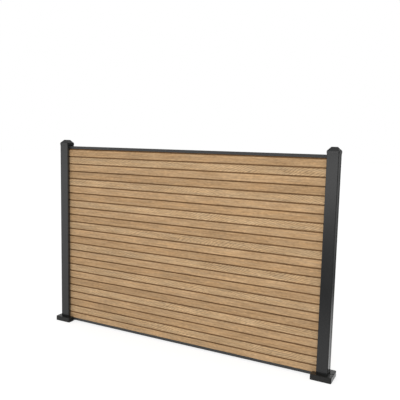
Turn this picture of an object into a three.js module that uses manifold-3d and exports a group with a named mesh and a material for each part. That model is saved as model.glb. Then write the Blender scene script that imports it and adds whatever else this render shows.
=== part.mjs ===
// Garden privacy screen: hollow composite boards with moulded lamellae, stacked on edge between two
// slotted aluminium posts, closed by a rail below and a rail above, on two bolted feet.
// Millimetres. X runs along the screen, the front faces -Y, Z is up and the ground is Z = 0.
import * as THREE from "three";
import { mergeVertices } from "three/addons/utils/BufferGeometryUtils.js";
import Module from "manifold-3d";

// ---------------------------------------------------------------- driving dimensions

// Boards
const BOARD_COUNT = 8;
const BOARD_LENGTH = 1800;
const BOARD_THICKNESS = 21;
const BOARD_WALL = 4;
const LAMELLAE_PER_BOARD = 3;
const LAMELLA_PITCH = 50;
const LAMELLA_EDGE_RADIUS = 1.2;
const GROOVE_WIDTH = 9;
const GROOVE_FLOOR_WIDTH = 6.5;
const GROOVE_DEPTH = 4;
const TONGUE_THICKNESS = 6.4;
const TONGUE_HEIGHT = 9.5;
const TONGUE_HEADROOM = 2.5;
const TONGUE_EDGE_RADIUS = 1;
const CHAMBER_RADIUS = 1.5;

// Rails
const RAIL_WALL = 1.9;
const BOTTOM_RAIL_FLOOR = 2;
const BOTTOM_RAIL_RIB_HEIGHT = 4.1;
const BOTTOM_RAIL_RIB_THICKNESS = 2;
const BOTTOM_RAIL_LAP = 10; // how far its lips rise over the lowest lamella
const TOP_RAIL_FACE = 17;
const RAIL_EDGE_RADIUS = 0.6;
const DRAIN_LENGTH = 30;
const DRAIN_WIDTH = 5;
const DRAIN_COUNT = 3;

// Posts
const POST_SIZE = 65;
const POST_WALL = 2;
const POST_CORNER_RADIUS = 3;
const SLOT_DEPTH = 16;
const EXPANSION_GAP = 6; // left for the boards to grow, between board end and slot floor
const SEAL_GROOVE_SETBACK = 3;
const SEAL_GROOVE_WIDTH = 4;
const SEAL_GROOVE_DEPTH = 1.6;
const SEAL_EDGE_RADIUS = 1;
const PORT_BORE_RADIUS = 2.9; // screw ports in the corners of the post
const PORT_WALL = 1.9;
const PORT_MOUTH = THREE.MathUtils.degToRad(70);

// Slot cover strip
const STRIP_RECESS = 0.8;
const STRIP_THICKNESS = 1.8;
const STRIP_LEG_THICKNESS = 1.4;
const STRIP_LEG_LENGTH = 5;
const STRIP_HOOK = 1.2;

// Feet
const PLATE_THICKNESS = 6;
const PLATE_MARGIN = 22; // plate edge outside the post
const PLATE_CORNER_RADIUS = 6;
const ANCHOR_HOLE_RADIUS = 5.5;
const ANCHOR_EDGE_DISTANCE = 12;
const FOOT_SCREW_SHANK_RADIUS = 2.6;
const FOOT_SCREW_HEAD_RADIUS = 5.6;
const FOOT_SCREW_HEAD_HEIGHT = 3.4;
const FOOT_SCREW_LENGTH = 28;
const FOOT_SCREW_SOCKET_RADIUS = 2.1;
const FOOT_SCREW_SOCKET_DEPTH = 2;
const RAIL_PAD_THICKNESS = 3;
const RAIL_PAD_LENGTH = 26;
const RAIL_PAD_WIDTH = 22;

// Base covers
const COVER_HEIGHT = 32;
const COVER_WALL = 2;
const COVER_PLATE_CLEARANCE = 3;
const COVER_EDGE_RADIUS = 2.5;
const COVER_CORNER_RADIUS = 5;
const COVER_SPLIT = 0.8;
const COVER_COLLAR_DEPTH = 6;
const COVER_NOTCH_CLEARANCE = 1;
const COVER_TAB_REACH = 9;
const COVER_TAB_THICKNESS = 1.6;
const COVER_TAB_WIDTH = 12;

// Caps
const CAP_REVEAL = 6.5; // from the top rail up to the cap's lower edge
const CAP_OVERHANG = 1.8;
const CAP_SKIRT = 15;
const CAP_LAP = 12; // skirt length below the post's top
const CAP_SLOPE_RISE = 21;
const CAP_SLOPE_INSET = 20;
const CAP_WALL = 2.5;
const CAP_EDGE_RADIUS = 1.5;
const CAP_LEG_DEPTH = 26;
const CAP_LEG_WIDTH = 28;
const CAP_LEG_THICKNESS = 2.5;
const CAP_RIB_HEIGHT = 1;
const CAP_RIB_WIDTH = 2;

// Hold-down clip of the top rail
const CLIP_THICKNESS = 2;
const CLIP_HEIGHT = 14;
const CLIP_FOOT = 13;
const CLIP_WIDTH = 20;
const CLIP_SCREW_RADIUS = 2;
const CLIP_SCREW_HEAD_RADIUS = 4;
const CLIP_SCREW_HEAD_TOP_RADIUS = 3.2;
const CLIP_SCREW_HEAD_HEIGHT = 2.6;
const CLIP_SCREW_SOCKET_RADIUS = 1.5;
const CLIP_SCREW_SOCKET_DEPTH = 1.4;
const CLIP_SCREW_REACH = 5; // how far the screw stands out behind the slot floor

// Clearances and facets
const FIT = 0.3; // between pieces that seat on or slide in each other
const EMBED = 0.2; // how far a rib or a tab starts inside the wall that carries it
const THROUGH = 1; // how far a cutter runs past the face it opens
const SHARPEST_RADIUS = 0.5; // smallest corner radius of a lofted square
const ROUND_STEPS = 3;
const PORT_STEPS = 4;
const SCREW_SIDES = 16;
const SOCKET_SIDES = 6;

// ---------------------------------------------------------------- sizes that follow

const COVER_PITCH = LAMELLAE_PER_BOARD * LAMELLA_PITCH; // one board's share of the height
const BOARD_HALF = BOARD_THICKNESS / 2;
const CORE_HALF = BOARD_HALF - GROOVE_DEPTH; // board half thickness in the grooves
const TONGUE_SLOT_HALF = TONGUE_THICKNESS / 2 + FIT;
const TONGUE_SLOT_HEIGHT = TONGUE_HEIGHT + TONGUE_HEADROOM;

const RAIL_HALF = BOARD_HALF + FIT + RAIL_WALL;
const SLOT_HALF = RAIL_HALF + FIT;
const POST_HALF = POST_SIZE / 2;
const SLOT_FLOOR = POST_HALF - SLOT_DEPTH; // from the post's middle
const PORT_OUTER_RADIUS = PORT_BORE_RADIUS + PORT_WALL;
const PORT_OFFSET = POST_HALF - POST_WALL - PORT_OUTER_RADIUS + 2 * EMBED;
const BOARD_INSERT = SLOT_DEPTH - EXPANSION_GAP;
const POST_OFFSET = BOARD_LENGTH / 2 - BOARD_INSERT + POST_HALF;

const POST_BOTTOM = PLATE_THICKNESS + FIT;
const BOTTOM_RAIL_Z = PLATE_THICKNESS + RAIL_PAD_THICKNESS + 2 * FIT;
const INFILL_BOTTOM = BOTTOM_RAIL_Z + BOTTOM_RAIL_FLOOR + BOTTOM_RAIL_RIB_HEIGHT + FIT;
const INFILL_TOP = INFILL_BOTTOM + BOARD_COUNT * COVER_PITCH;
const TOP_RAIL_Z = INFILL_TOP + GROOVE_WIDTH / 2;
const TOP_RAIL_SEAT = TONGUE_HEIGHT - GROOVE_WIDTH / 2 + FIT; // its web above its underside
const TOP_RAIL_TOP = TOP_RAIL_Z + TOP_RAIL_FACE;
const CAP_BOTTOM = TOP_RAIL_TOP + CAP_REVEAL;
const POST_TOP = CAP_BOTTOM + CAP_LAP;

const PLATE_HALF = POST_HALF + PLATE_MARGIN;
const COVER_HALF = PLATE_HALF + COVER_PLATE_CLEARANCE + COVER_WALL;
const CAP_HALF = POST_HALF + CAP_OVERHANG;
const CLIP_SCREW_Z = TOP_RAIL_TOP + FIT + (CLIP_HEIGHT + CLIP_THICKNESS) / 2;

// ---------------------------------------------------------------- finishes

const FINISHES = {
  composite: { color: 0xb49a76, roughness: 0.75, metalness: 0 },
  powderCoat: { color: 0x46484a, roughness: 0.55, metalness: 0.25 },
  darkRail: { color: 0x3a3c3e, roughness: 0.55, metalness: 0.25 },
  blackPlastic: { color: 0x2b2c2d, roughness: 0.6, metalness: 0 },
  rubber: { color: 0x1c1c1c, roughness: 0.9, metalness: 0 },
  galvanised: { color: 0x9a9d9f, roughness: 0.5, metalness: 0.8 },
  stainless: { color: 0xb8b9ba, roughness: 0.3, metalness: 0.9 },
};

const wasm = await Module();
wasm.setup();

// ---------------------------------------------------------------- shape helpers

/** A closed outline through corners [x, y] or [x, y, radius]; a radius turns the corner into an arc. */
function outline(corners, steps = ROUND_STEPS) {
  const points = [];
  corners.forEach(([x, y, radius = 0], i) => {
    const corner = new THREE.Vector2(x, y);
    if (radius === 0) {
      points.push(corner);
      return;
    }
    const [beforeX, beforeY] = corners.at(i - 1);
    const [afterX, afterY] = corners[(i + 1) % corners.length];
    const back = new THREE.Vector2(beforeX - x, beforeY - y).normalize();
    const ahead = new THREE.Vector2(afterX - x, afterY - y).normalize();
    const halfAngle = Math.acos(THREE.MathUtils.clamp(back.dot(ahead), -1, 1)) / 2;
    const inward = back.clone().add(ahead).normalize();
    const centre = corner.clone().addScaledVector(inward, radius / Math.sin(halfAngle));
    const start = corner.clone().addScaledVector(back, radius / Math.tan(halfAngle));
    const turn = Math.sign(ahead.cross(back)) * (Math.PI - 2 * halfAngle);
    for (let step = 0; step <= steps; step += 1) {
      points.push(start.clone().rotateAround(centre, (turn * step) / steps));
    }
  });
  return points;
}

/** A section drawn in X and Y, extruded upwards from one height to another. */
function extrudeUp(section, from, to, holes = []) {
  const shape = new THREE.Shape(section);
  shape.holes = holes.map((hole) => new THREE.Path(hole));
  const geometry = new THREE.ExtrudeGeometry(shape, { depth: to - from, bevelEnabled: false });
  return geometry.translate(0, 0, from);
}

/** A section drawn in Y and Z, extruded along X from one place to another. */
function extrudeAlong(section, from, to, holes = []) {
  const turn = new THREE.Matrix4().makeBasis(
    new THREE.Vector3(0, 1, 0),
    new THREE.Vector3(0, 0, 1),
    new THREE.Vector3(1, 0, 0),
  );
  return extrudeUp(section, from, to, holes).applyMatrix4(turn);
}

/** A box between two opposite corners. */
function boxBetween([x0, y0, z0], [x1, y1, z1]) {
  const box = new THREE.BoxGeometry(Math.abs(x1 - x0), Math.abs(y1 - y0), Math.abs(z1 - z0));
  return box.translate((x0 + x1) / 2, (y0 + y1) / 2, (z0 + z1) / 2);
}

/** The four rounded corners of a square, as outline corners. */
function squareCorners(half, radius) {
  return [
    [-half, -half, radius],
    [half, -half, radius],
    [half, half, radius],
    [-half, half, radius],
  ];
}

/** A square shell form: one rounded square at each [half size, height] of the profile, bottom first. */
function squareLoft(profile, cornerRadius) {
  const widest = Math.max(...profile.map(([half]) => half));
  const rings = profile.map(([half]) => {
    const radius = Math.max(cornerRadius - (widest - half), SHARPEST_RADIUS);
    return outline(squareCorners(half, radius));
  });
  const count = rings[0].length;
  const positions = rings.flatMap((ring, i) => ring.flatMap(({ x, y }) => [x, y, profile[i][1]]));
  const index = [];
  for (let ring = 0; ring < rings.length - 1; ring += 1) {
    for (let i = 0; i < count; i += 1) {
      const a = ring * count + i;
      const b = ring * count + ((i + 1) % count);
      index.push(a, b, b + count, a, b + count, a + count);
    }
  }
  const last = (rings.length - 1) * count;
  for (let i = 1; i < count - 1; i += 1) {
    index.push(0, i + 1, i);
    index.push(last, last + i, last + i + 1);
  }
  const geometry = new THREE.BufferGeometry();
  geometry.setAttribute("position", new THREE.Float32BufferAttribute(positions, 3));
  geometry.setIndex(index);
  return geometry;
}

/** A turned piece standing on Z, from a profile of [radius, height] that starts and ends on the axis. */
function turned(profile) {
  const points = profile.map(([radius, height]) => new THREE.Vector2(radius, height));
  return new THREE.LatheGeometry(points, SCREW_SIDES).rotateX(Math.PI / 2);
}

/** A plain round pin on the Z axis between two heights. */
function pin(radius, from, to) {
  return turned([
    [0, from],
    [radius, from],
    [radius, to],
    [0, to],
  ]);
}

/** A hexagonal prism on the Z axis, centred on a height and as deep on each side of it. */
function socketCutter(radius, depth, height) {
  const prism = new THREE.CylinderGeometry(radius, radius, 2 * depth, SOCKET_SIDES);
  return prism.rotateX(Math.PI / 2).translate(0, 0, height);
}

/** The solid of a closed geometry, for cutting and joining. */
function solidOf(geometry) {
  const bare = new THREE.BufferGeometry();
  bare.setAttribute("position", geometry.getAttribute("position"));
  bare.setIndex(geometry.getIndex());
  const merged = mergeVertices(bare, 1e-4);
  return new wasm.Manifold(
    new wasm.Mesh({
      numProp: 3,
      vertProperties: Float32Array.from(merged.getAttribute("position").array),
      triVerts: Uint32Array.from(merged.getIndex().array),
    }),
  );
}

/** One geometry with others joined to it and others cut from it. */
function combine(base, { join = [], cut = [] }) {
  let solid = solidOf(base);
  join.forEach((geometry) => {
    solid = solid.add(solidOf(geometry));
  });
  cut.forEach((geometry) => {
    solid = solid.subtract(solidOf(geometry));
  });
  return geometryOf(solid);
}

/** The part of a geometry that lies inside a box. */
function keepInside(geometry, box) {
  return geometryOf(solidOf(geometry).intersect(solidOf(box)));
}

function geometryOf(solid) {
  const { vertProperties, triVerts } = solid.getMesh();
  const indexed = new THREE.BufferGeometry();
  indexed.setAttribute("position", new THREE.BufferAttribute(vertProperties, 3));
  indexed.setIndex(new THREE.BufferAttribute(triVerts, 1));
  return indexed;
}

/** A named piece with its own material, its geometry shaded flat. */
function piece(name, geometry, finish) {
  const faceted = geometry.index ? geometry.toNonIndexed() : geometry;
  faceted.computeVertexNormals();
  const mesh = new THREE.Mesh(faceted, new THREE.MeshStandardMaterial(FINISHES[finish]));
  mesh.name = name;
  return mesh;
}

// ---------------------------------------------------------------- infill

/** Hollow tongue-and-groove board: lamellae on both faces, a slot below and a tongue above. */
function board() {
  const floorHalf = GROOVE_FLOOR_WIDTH / 2;
  const faceHalf = GROOVE_WIDTH / 2;
  const face = (side) => {
    const corners = [];
    for (let i = 0; i < LAMELLAE_PER_BOARD; i += 1) {
      const low = i * LAMELLA_PITCH;
      const high = low + LAMELLA_PITCH;
      corners.push([side * CORE_HALF, low + floorHalf]);
      corners.push([side * BOARD_HALF, low + faceHalf, LAMELLA_EDGE_RADIUS]);
      corners.push([side * BOARD_HALF, high - faceHalf, LAMELLA_EDGE_RADIUS]);
      corners.push([side * CORE_HALF, high - floorHalf]);
    }
    return corners;
  };
  const shoulder = COVER_PITCH - FIT;
  const tongueHalf = TONGUE_THICKNESS / 2;
  const tongueTop = COVER_PITCH + TONGUE_HEIGHT;
  const section = outline([
    [-TONGUE_SLOT_HALF, 0],
    [-TONGUE_SLOT_HALF, TONGUE_SLOT_HEIGHT],
    [TONGUE_SLOT_HALF, TONGUE_SLOT_HEIGHT],
    [TONGUE_SLOT_HALF, 0],
    [CORE_HALF, 0],
    ...face(1),
    [CORE_HALF, shoulder],
    [tongueHalf, shoulder],
    [tongueHalf, tongueTop, TONGUE_EDGE_RADIUS],
    [-tongueHalf, tongueTop, TONGUE_EDGE_RADIUS],
    [-tongueHalf, shoulder],
    [-CORE_HALF, shoulder],
    ...face(-1).reverse(),
    [-CORE_HALF, 0],
  ]);
  return extrudeAlong(section, -BOARD_LENGTH / 2, BOARD_LENGTH / 2, boardChambers());
}

/** Outlines of the board's hollow chambers, two behind each lamella with a web between them. */
function boardChambers() {
  const depthHalf = BOARD_HALF - BOARD_WALL;
  const margin = GROOVE_FLOOR_WIDTH / 2 + BOARD_WALL;
  const chambers = [];
  for (let i = 0; i < LAMELLAE_PER_BOARD; i += 1) {
    const slotTop = i === 0 ? TONGUE_SLOT_HEIGHT + BOARD_WALL : 0;
    const low = Math.max(i * LAMELLA_PITCH + margin, slotTop);
    const high = (i + 1) * LAMELLA_PITCH - margin;
    const height = (high - low - BOARD_WALL) / 2;
    [low, high - height].forEach((bottom) => {
      const corners = [
        [-depthHalf, bottom, CHAMBER_RADIUS],
        [depthHalf, bottom, CHAMBER_RADIUS],
        [depthHalf, bottom + height, CHAMBER_RADIUS],
        [-depthHalf, bottom + height, CHAMBER_RADIUS],
      ];
      chambers.push(outline(corners, 1));
    });
  }
  return chambers;
}

/** Channel that carries the lowest board on two ribs and laps its faces; slots in its floor drain it. */
function bottomRail() {
  const inner = RAIL_HALF - RAIL_WALL;
  const lipTop = INFILL_BOTTOM + BOTTOM_RAIL_LAP - BOTTOM_RAIL_Z;
  const ribMiddle = (CORE_HALF + TONGUE_SLOT_HALF) / 2;
  const ribOuter = ribMiddle + BOTTOM_RAIL_RIB_THICKNESS / 2;
  const ribInner = ribMiddle - BOTTOM_RAIL_RIB_THICKNESS / 2;
  const ribTop = BOTTOM_RAIL_FLOOR + BOTTOM_RAIL_RIB_HEIGHT;
  const rightHalf = [
    [RAIL_HALF, 0, RAIL_EDGE_RADIUS],
    [RAIL_HALF, lipTop, RAIL_EDGE_RADIUS],
    [inner, lipTop],
    [inner, BOTTOM_RAIL_FLOOR],
    [ribOuter, BOTTOM_RAIL_FLOOR],
    [ribOuter, ribTop],
    [ribInner, ribTop],
    [ribInner, BOTTOM_RAIL_FLOOR],
  ];
  const leftHalf = rightHalf.map(([y, z, radius]) => [-y, z, radius]).reverse();
  const channel = extrudeAlong(
    outline([...rightHalf, ...leftHalf]),
    -BOARD_LENGTH / 2,
    BOARD_LENGTH / 2,
  );
  const drainEnd = DRAIN_WIDTH / 2;
  const drainSection = outline([
    [-DRAIN_LENGTH / 2, -drainEnd, drainEnd],
    [DRAIN_LENGTH / 2, -drainEnd, drainEnd],
    [DRAIN_LENGTH / 2, drainEnd, drainEnd],
    [-DRAIN_LENGTH / 2, drainEnd, drainEnd],
  ]);
  const drains = [];
  for (let i = 0; i < DRAIN_COUNT; i += 1) {
    const drain = extrudeUp(drainSection, -THROUGH, BOTTOM_RAIL_FLOOR + THROUGH);
    drains.push(drain.translate((i - (DRAIN_COUNT - 1) / 2) * (BOARD_LENGTH / DRAIN_COUNT), 0, 0));
  }
  return combine(channel, { cut: drains });
}

/** Closing rail as thick as the boards: a box section whose web sits on the top board's tongue. */
function topRail() {
  const hollowHalf = BOARD_HALF - RAIL_WALL;
  const rightHalf = [
    [TONGUE_SLOT_HALF, 0],
    [BOARD_HALF, 0, RAIL_EDGE_RADIUS],
    [BOARD_HALF, TOP_RAIL_FACE, RAIL_EDGE_RADIUS],
  ];
  const rightInside = [
    [hollowHalf, TOP_RAIL_SEAT],
    [hollowHalf, RAIL_WALL],
    [TONGUE_SLOT_HALF, RAIL_WALL],
  ];
  const mirror = (corners) => corners.map(([y, z, radius]) => [-y, z, radius]).reverse();
  const section = outline([
    ...rightHalf,
    ...mirror(rightHalf),
    ...mirror(rightInside),
    ...rightInside,
  ]);
  const chamber = outline([
    [-hollowHalf, TOP_RAIL_SEAT + RAIL_WALL],
    [hollowHalf, TOP_RAIL_SEAT + RAIL_WALL],
    [hollowHalf, TOP_RAIL_FACE - RAIL_WALL],
    [-hollowHalf, TOP_RAIL_FACE - RAIL_WALL],
  ]);
  return extrudeAlong(section, -BOARD_LENGTH / 2, BOARD_LENGTH / 2, [chamber]);
}

// ---------------------------------------------------------------- post end
// Every piece below is drawn round the post's own axis, with the screen on its +X side.

/** Post extrusion: slots on two sides, seal grooves in them, and a screw port in each corner. */
function post() {
  const grooveStart = POST_HALF - SEAL_GROOVE_SETBACK;
  const grooveEnd = grooveStart - SEAL_GROOVE_WIDTH;
  const grooveFloor = SLOT_HALF + SEAL_GROOVE_DEPTH;
  const quarter = [
    [SLOT_FLOOR, SLOT_HALF],
    [grooveEnd, SLOT_HALF],
    [grooveEnd, grooveFloor],
    [grooveStart, grooveFloor],
    [grooveStart, SLOT_HALF],
    [POST_HALF, SLOT_HALF],
    [POST_HALF, POST_HALF, POST_CORNER_RADIUS],
  ];
  const inside = POST_HALF - POST_WALL;
  const hollowQuarter = [
    [SLOT_FLOOR - POST_WALL, SLOT_HALF + POST_WALL],
    [grooveEnd - POST_WALL, SLOT_HALF + POST_WALL],
    [grooveEnd - POST_WALL, grooveFloor + POST_WALL],
    [inside, grooveFloor + POST_WALL],
    [inside, inside, POST_CORNER_RADIUS - POST_WALL],
  ];
  const allRound = (corners) => {
    const flip = (signX, signY) => corners.map(([x, y, radius]) => [signX * x, signY * y, radius]);
    return outline([
      ...flip(1, 1),
      ...flip(-1, 1).reverse(),
      ...flip(-1, -1),
      ...flip(1, -1).reverse(),
    ]);
  };
  const shell = extrudeUp(allRound(quarter), POST_BOTTOM, POST_TOP, [allRound(hollowQuarter)]);
  const ports = cornerOffsets(PORT_OFFSET).map(([x, y]) => screwPort(x, y));
  const clipHole = pin(CLIP_SCREW_RADIUS + FIT, -POST_WALL - THROUGH, THROUGH);
  clipHole.rotateY(Math.PI / 2).translate(SLOT_FLOOR, 0, CLIP_SCREW_Z);
  return combine(shell, { join: ports, cut: [clipHole] });
}

/** The four corners of a square round the post's axis. */
function cornerOffsets(offset) {
  return [
    [-offset, -offset],
    [offset, -offset],
    [offset, offset],
    [-offset, offset],
  ];
}

/** One screw port: a C in section with its mouth towards the post's middle, solid to the corner. */
function screwPort(x, y) {
  const mouth = Math.atan2(-y, -x);
  const corner = mouth + Math.PI;
  const halfOpening = PORT_MOUTH / 2;
  const cornerDistance = PORT_OUTER_RADIUS * Math.SQRT2;
  const shape = new THREE.Shape();
  shape.absarc(x, y, PORT_OUTER_RADIUS, mouth + halfOpening, corner - Math.PI / 4, false);
  shape.lineTo(x + cornerDistance * Math.cos(corner), y + cornerDistance * Math.sin(corner));
  const far = mouth + 2 * Math.PI - halfOpening;
  shape.absarc(x, y, PORT_OUTER_RADIUS, corner + Math.PI / 4, far, false);
  shape.absarc(x, y, PORT_BORE_RADIUS, far, mouth + halfOpening, true);
  return extrudeUp(shape.getPoints(PORT_STEPS), POST_BOTTOM, POST_TOP);
}

/** Strip that snaps into the outer slot: a flat web with two hooked legs in the seal grooves. */
function slotCover() {
  const edge = SLOT_HALF - FIT;
  const face = -POST_HALF + STRIP_RECESS;
  const webBack = face + STRIP_THICKNESS;
  const legEnd = webBack + STRIP_LEG_LENGTH;
  const hookFront = -POST_HALF + SEAL_GROOVE_SETBACK + FIT;
  const half = [
    [face, edge],
    [hookFront, edge],
    [hookFront, edge + STRIP_HOOK],
    [hookFront + 2 * STRIP_HOOK, edge],
    [legEnd, edge],
    [legEnd, edge - STRIP_LEG_THICKNESS],
    [webBack, edge - STRIP_LEG_THICKNESS],
  ];
  const mirrored = half.map(([x, y]) => [x, -y]).reverse();
  return extrudeUp(outline([...mirrored, ...half].reverse()), POST_BOTTOM + FIT, POST_TOP - FIT);
}

/** Seal between a board face and the slot wall: its foot sits in the post's groove. */
function slotSeal(side) {
  const foot = SEAL_GROOVE_WIDTH - 2 * FIT;
  const footStart = POST_HALF - SEAL_GROOVE_SETBACK - FIT;
  const footFloor = SLOT_HALF + SEAL_GROOVE_DEPTH - FIT;
  const wallSide = SLOT_HALF - FIT;
  const boardSide = BOARD_HALF + FIT;
  const bodyStart = POST_HALF - SEAL_GROOVE_SETBACK / 2;
  const bodyEnd = footStart - foot - SEAL_GROOVE_SETBACK / 2;
  const corners = [
    [bodyStart, wallSide],
    [footStart, wallSide],
    [footStart, footFloor],
    [footStart - foot, footFloor],
    [footStart - foot, wallSide],
    [bodyEnd, wallSide],
    [bodyEnd, boardSide, SEAL_EDGE_RADIUS],
    [bodyStart, boardSide, SEAL_EDGE_RADIUS],
  ];
  const placed = corners.map(([x, y, radius]) => [x, side * y, radius]);
  const bottom = INFILL_BOTTOM + BOTTOM_RAIL_LAP + FIT;
  return extrudeUp(outline(side > 0 ? placed : placed.reverse()), bottom, TOP_RAIL_TOP);
}

/** Chamfered post cap: a thin shell over the post's end, with two plug legs that grip its walls. */
function cap() {
  const slopeTop = CAP_SKIRT + CAP_SLOPE_RISE;
  const flatHalf = CAP_HALF - CAP_SLOPE_INSET;
  const outer = outline([
    [0, 0],
    [CAP_HALF, 0],
    [CAP_HALF, CAP_SKIRT, CAP_EDGE_RADIUS],
    [flatHalf, slopeTop, CAP_EDGE_RADIUS],
    [0, slopeTop],
  ]).slice(1, -1);
  const seat = CAP_LAP + FIT;
  const fitHalf = POST_HALF + FIT;
  const innerHalf = POST_HALF - POST_WALL - CAP_WALL / 2;
  const slope = Math.atan2(CAP_SLOPE_RISE, CAP_SLOPE_INSET);
  const slopeShift = CAP_WALL / Math.sin(slope);
  const onSlope = (half) => CAP_SKIRT + (CAP_HALF - slopeShift - half) * Math.tan(slope);
  const ceiling = slopeTop - CAP_WALL;
  const ceilingHalf = CAP_HALF - slopeShift - (ceiling - CAP_SKIRT) / Math.tan(slope);
  const skirtRoom = squareLoft(
    [
      [fitHalf, -THROUGH],
      [fitHalf, seat],
    ],
    POST_CORNER_RADIUS,
  );
  const slopeRoom = squareLoft(
    [
      [innerHalf, seat - THROUGH],
      [innerHalf, onSlope(innerHalf)],
      [ceilingHalf, ceiling],
    ],
    POST_CORNER_RADIUS,
  );
  const shell = combine(squareLoft(outer.map(({ x, y }) => [x, y]), POST_CORNER_RADIUS + CAP_OVERHANG), {
    cut: [skirtRoom, slopeRoom],
  });
  const legs = [-1, 1].flatMap((side) => capLeg(side, seat, onSlope));
  return combine(shell, { join: legs }).translate(0, 0, CAP_BOTTOM);
}

/** One plug leg from the cap's sloping ceiling to its tapered tip, with two grip ribs outside. */
function capLeg(side, seat, ceilingAt) {
  const outerFace = POST_HALF - POST_WALL - FIT - CAP_RIB_HEIGHT;
  const innerFace = outerFace - CAP_LEG_THICKNESS;
  const tip = seat - CAP_LEG_DEPTH;
  const corners = [
    [innerFace, tip],
    [outerFace - CAP_LEG_THICKNESS / 2, tip],
    [outerFace, tip + 2 * CAP_LEG_THICKNESS],
    [outerFace, ceilingAt(outerFace) + EMBED],
    [innerFace, ceilingAt(innerFace) + EMBED],
  ];
  const placed = corners.map(([y, z]) => [side * y, z]);
  const section = outline(side > 0 ? placed : placed.reverse());
  const leg = extrudeAlong(section, -CAP_LEG_WIDTH / 2, CAP_LEG_WIDTH / 2);
  const ribs = [-1, 1].map((end) => {
    const middle = (end * (CAP_LEG_WIDTH - 4 * CAP_RIB_WIDTH)) / 2;
    return boxBetween(
      [middle - CAP_RIB_WIDTH / 2, side * (outerFace - EMBED), tip + 3 * CAP_LEG_THICKNESS],
      [middle + CAP_RIB_WIDTH / 2, side * (outerFace + CAP_RIB_HEIGHT), seat - CAP_WALL],
    );
  });
  return [leg, ...ribs];
}

/** Profile of the countersunk foot screw, its head down at the origin, larger by the clearance. */
function footScrewProfile(clearance) {
  const head = FOOT_SCREW_HEAD_RADIUS + clearance;
  const shank = FOOT_SCREW_SHANK_RADIUS + clearance;
  return [
    [0, 0],
    [head, 0],
    [head, FIT],
    [shank, FOOT_SCREW_HEAD_HEIGHT],
    [shank, FOOT_SCREW_LENGTH],
    [0, FOOT_SCREW_LENGTH],
  ];
}

/** Countersunk screw with a hexagon socket, driven up through the plate into a screw port. */
function footScrew() {
  const socket = socketCutter(FOOT_SCREW_SOCKET_RADIUS, FOOT_SCREW_SOCKET_DEPTH, 0);
  return combine(turned(footScrewProfile(0)), { cut: [socket] });
}

/** Foot plate: countersunk holes under the screw ports and an anchor hole in each corner. */
function footPlate() {
  const plate = extrudeUp(
    outline(squareCorners(PLATE_HALF, PLATE_CORNER_RADIUS)),
    0,
    PLATE_THICKNESS,
  );
  const screwHoles = cornerOffsets(PORT_OFFSET).flatMap(([x, y]) => {
    const countersink = turned(footScrewProfile(FIT)).translate(x, y, FIT);
    const mouth = pin(FOOT_SCREW_HEAD_RADIUS + FIT, -THROUGH, 2 * FIT).translate(x, y, 0);
    return [countersink, mouth];
  });
  const anchorHoles = cornerOffsets(PLATE_HALF - ANCHOR_EDGE_DISTANCE).map(([x, y]) =>
    pin(ANCHOR_HOLE_RADIUS, -THROUGH, PLATE_THICKNESS + THROUGH).translate(x, y, 0),
  );
  return combine(plate, { cut: [...screwHoles, ...anchorHoles] });
}

/** Rubber pad on the foot plate, under the end of the bottom rail. */
function railPad() {
  const start = POST_HALF - BOARD_INSERT;
  const bottom = PLATE_THICKNESS + FIT;
  return boxBetween(
    [start, -RAIL_PAD_WIDTH / 2, bottom],
    [start + RAIL_PAD_LENGTH, RAIL_PAD_WIDTH / 2, bottom + RAIL_PAD_THICKNESS],
  );
}

/** Both halves of the base cover, front half first: they meet across the post's middle. */
function coverHalves() {
  const outer = outline([
    [0, 0],
    [COVER_HALF, 0],
    [COVER_HALF, COVER_HEIGHT, COVER_EDGE_RADIUS],
    [0, COVER_HEIGHT],
  ]).slice(1, -1);
  const roomHalf = COVER_HALF - COVER_WALL;
  const underside = COVER_HEIGHT - COVER_WALL;
  const room = squareLoft(
    [
      [roomHalf, -THROUGH],
      [roomHalf, underside],
    ],
    COVER_CORNER_RADIUS - COVER_WALL,
  );
  const fitHalf = POST_HALF + FIT;
  const collar = extrudeUp(
    outline(squareCorners(fitHalf + COVER_WALL, POST_CORNER_RADIUS + COVER_WALL)),
    underside - COVER_COLLAR_DEPTH,
    underside + EMBED,
  );
  const below = -THROUGH;
  const above = COVER_HEIGHT + THROUGH;
  const reach = COVER_HALF + THROUGH;
  const postHole = extrudeUp(outline(squareCorners(fitHalf, POST_CORNER_RADIUS)), below, above);
  const notchHalf = RAIL_HALF + COVER_NOTCH_CLEARANCE;
  const notch = boxBetween([0, -notchHalf, below], [reach, notchHalf, above]);
  const hollow = combine(squareLoft(outer.map(({ x, y }) => [x, y]), COVER_CORNER_RADIUS), {
    cut: [room],
  });
  const whole = combine(hollow, { join: [collar], cut: [postHole, notch] });
  const [front, back] = [-1, 1].map((side) =>
    keepInside(
      whole,
      boxBetween([-reach, (side * COVER_SPLIT) / 2, below], [reach, side * reach, above]),
    ),
  );
  return [combine(front, { join: coverTabs(roomHalf, underside) }), back];
}

/** Tabs of the front half that reach behind the back half: one in the side wall, one in the top. */
function coverTabs(roomHalf, underside) {
  const root = -COVER_SPLIT / 2;
  const middleX = -(roomHalf + POST_HALF) / 2;
  const halfWidth = COVER_TAB_WIDTH / 2;
  const tabZ = underside / 2;
  const sideTab = (wallFace, from, to) =>
    boxBetween(
      [-wallFace, from, tabZ - halfWidth],
      [-(roomHalf - FIT - COVER_TAB_THICKNESS), to, tabZ + halfWidth],
    );
  const topTab = (wallFace, from, to) =>
    boxBetween(
      [middleX - halfWidth, from, wallFace],
      [middleX + halfWidth, to, underside - FIT - COVER_TAB_THICKNESS],
    );
  return [
    sideTab(roomHalf + EMBED, root - COVER_TAB_REACH, root),
    sideTab(roomHalf - FIT, root - EMBED, COVER_TAB_REACH),
    topTab(underside + EMBED, root - COVER_TAB_REACH, root),
    topTab(underside - FIT, root - EMBED, COVER_TAB_REACH),
  ];
}

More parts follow.
